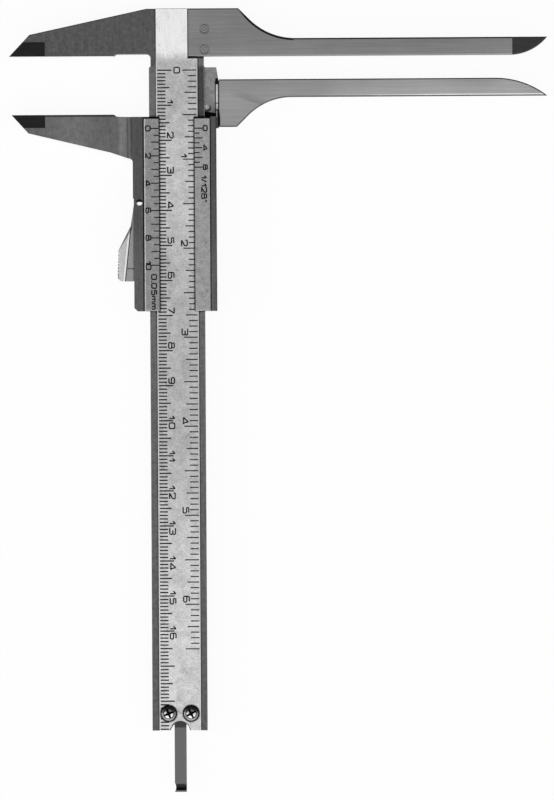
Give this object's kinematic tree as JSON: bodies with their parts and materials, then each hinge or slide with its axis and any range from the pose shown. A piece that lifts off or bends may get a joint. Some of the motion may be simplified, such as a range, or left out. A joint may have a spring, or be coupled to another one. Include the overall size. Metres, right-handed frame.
{
  "type": "vernier caliper",
  "caption": "Vernier caliper with outside jaws, long straight inside arms, a depth rod and a momentary thumb lock, lying flat with its jaws partly open.",
  "frame": {"origin": "where the beam's centreline, its back face and the plane of the fixed outside measuring face meet", "axes": "+Y up the beam towards its head, +X across the beam towards the inside arms, +Z out of the graduated front; the caliper lies on its back"},
  "size_m": [0.1536, 0.2237, 0.007],
  "materials": {
    "ground_steel": "ground stainless steel, satin on the scales",
    "hard_metal": "dark ground hard metal",
    "arm_steel": "fine ground steel, grained along the arm",
    "bright_fittings": "bright plated steel",
    "spring_steel": "spring strip",
    "braze_filler": "filed silver solder"
  },
  "bodies": {
    "beam": {"main_beam": "ground_steel", "fixed_jaw_tip": "hard_metal", "fixed_inside_arm": "arm_steel", "fixed_arm_tip": "hard_metal", "arm_rivet_upper": "arm_steel", "arm_rivet_lower": "arm_steel", "rod_stop_plate": "ground_steel", "stop_screw_left": "bright_fittings", "stop_screw_right": "bright_fittings"},
    "slider": {"slider_body": "ground_steel", "moving_jaw_tip": "hard_metal", "moving_inside_arm": "arm_steel", "arm_braze_seam": "braze_filler", "depth_rod": "ground_steel", "rod_rivet_upper": "arm_steel", "rod_rivet_lower": "arm_steel", "lever_pivot_pin": "bright_fittings", "lever_spring": "spring_steel", "gib_spring": "spring_steel", "gib_screw_upper": "bright_fittings", "gib_screw_lower": "bright_fittings"},
    "lever": {"lock_lever": "bright_fittings"}
  },
  "joints": [
    {"name": "slider_travel", "type": "slide", "parent": "beam", "child": "slider", "axis": [0, -1, 0], "range_m": [-0.01663, 0.1124]},
    {"name": "lever_press", "type": "hinge", "parent": "slider", "child": "lever", "pos_m": [-0.01072, -0.04185, 0.0017], "axis": [0, 0, 1], "range_deg": [0, 6], "stiffness_Nm_per_rad": 0.3, "springref_deg": -5.73, "deforming": ["lever_spring"]}
  ]
}
